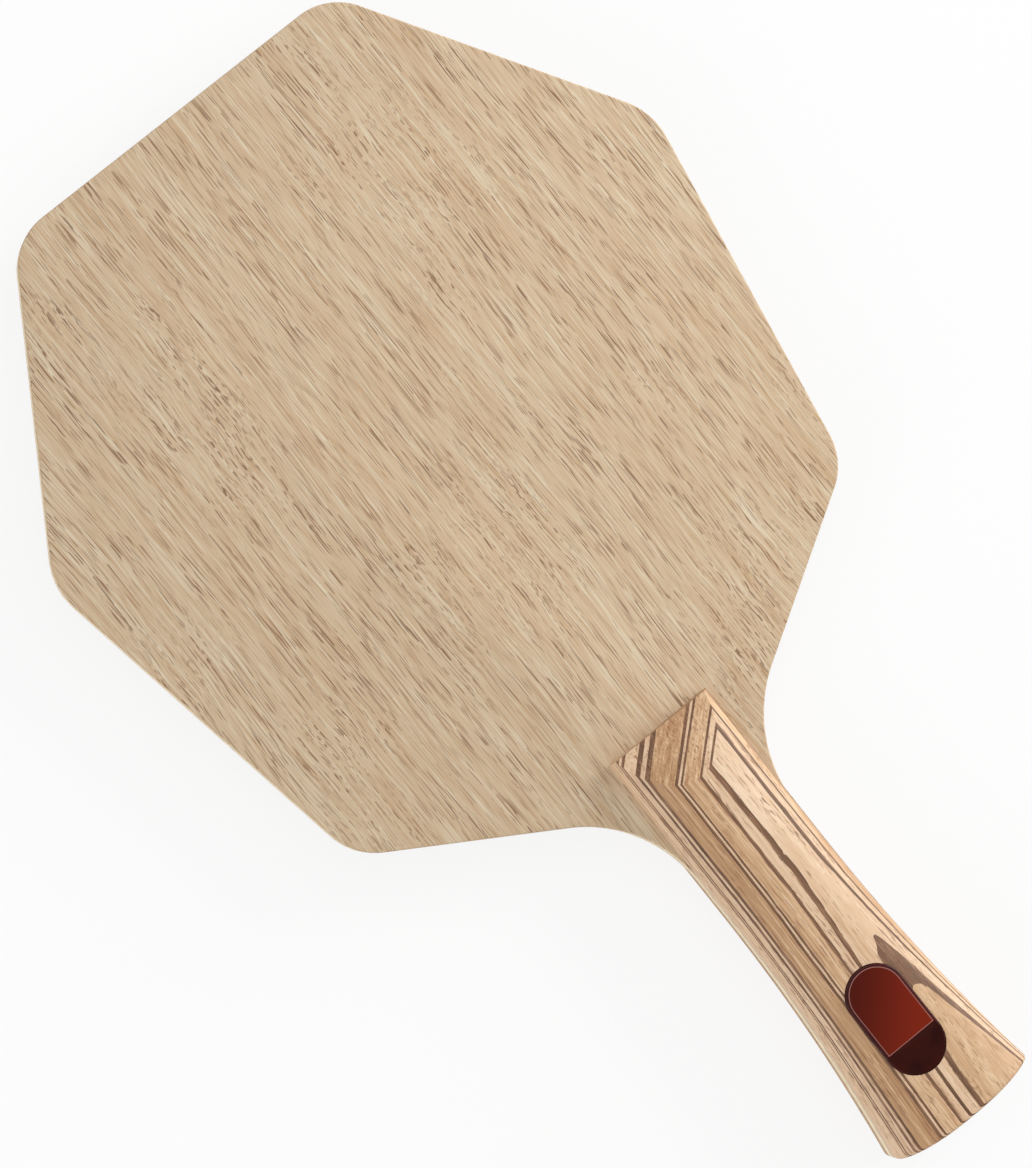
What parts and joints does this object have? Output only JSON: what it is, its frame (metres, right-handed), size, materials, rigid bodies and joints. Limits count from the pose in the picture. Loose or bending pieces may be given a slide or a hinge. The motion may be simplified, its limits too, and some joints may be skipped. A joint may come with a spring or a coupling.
{
  "type": "table tennis paddle",
  "caption": "Bare wooden table tennis paddle: six-sided plywood blade, flared laminated handle, inset badge, and a removable weight coin in the butt.",
  "frame": {"origin": "centre of the paddle's box: on the handle's axis, in the middle of the blade's thickness, halfway between tip and butt", "axes": "+X across the paddle, +Y along the handle towards the tip, +Z out of the front face, on which the badge is"},
  "size_m": [0.1538, 0.2581, 0.0234],
  "materials": {
    "face_ply": "open-pored face veneer, sanded, bare",
    "inner_ply": "straight-grained cross ply, sanded edge",
    "core_ply": "light soft wood, sanded edge",
    "pale_veneer": "pale veneer, sanded and bare",
    "tan_veneer": "tan veneer, sanded and bare",
    "dark_veneer": "dyed brown veneer, sanded and bare",
    "badge_base": "moulded, gloss",
    "badge_panel": "moulded, gloss",
    "badge_foot": "moulded, gloss",
    "adhesive": "foam adhesive pad",
    "cup": "moulded, fine texture",
    "magnet": "nickel plated",
    "coin_steel": "turned and nickel plated",
    "coin_inlay": "enamelled disc"
  },
  "bodies": {
    "paddle": {"core_ply": "core_ply", "front_inner_ply": "inner_ply", "back_inner_ply": "inner_ply", "front_outer_ply": "face_ply", "back_outer_ply": "face_ply", "front_veneer_01": "pale_veneer", "front_veneer_02": "dark_veneer", "front_veneer_03": "pale_veneer", "front_veneer_04": "dark_veneer", "front_veneer_05": "pale_veneer", "front_veneer_06": "dark_veneer", "front_veneer_07": "tan_veneer", "front_veneer_08": "dark_veneer", "front_veneer_09": "pale_veneer", "front_veneer_10": "dark_veneer", "front_veneer_11": "tan_veneer", "front_veneer_12": "dark_veneer", "front_veneer_13": "pale_veneer", "front_veneer_14": "dark_veneer", "front_veneer_15": "pale_veneer", "front_veneer_16": "dark_veneer", "front_veneer_17": "pale_veneer", "front_veneer_18": "dark_veneer", "front_veneer_19": "pale_veneer", "back_veneer_01": "pale_veneer", "back_veneer_02": "dark_veneer", "back_veneer_03": "pale_veneer", "back_veneer_04": "dark_veneer", "back_veneer_05": "pale_veneer", "back_veneer_06": "dark_veneer", "back_veneer_07": "tan_veneer", "back_veneer_08": "dark_veneer", "back_veneer_09": "pale_veneer", "back_veneer_10": "dark_veneer", "back_veneer_11": "tan_veneer", "back_veneer_12": "dark_veneer", "back_veneer_13": "pale_veneer", "back_veneer_14": "dark_veneer", "back_veneer_15": "pale_veneer", "back_veneer_16": "dark_veneer", "back_veneer_17": "pale_veneer", "back_veneer_18": "dark_veneer", "back_veneer_19": "pale_veneer", "badge_adhesive": "adhesive", "badge_base": "badge_base", "badge_panel": "badge_panel", "badge_foot": "badge_foot", "weight_cup": "cup", "cup_magnet": "magnet"},
    "coin": {"coin_body": "coin_steel", "coin_face": "coin_inlay"}
  },
  "joints": [
    {"name": "coin_slide", "type": "slide", "parent": "paddle", "child": "coin", "axis": [0, -1, 0], "range_m": [0, 0.015]}
  ]
}
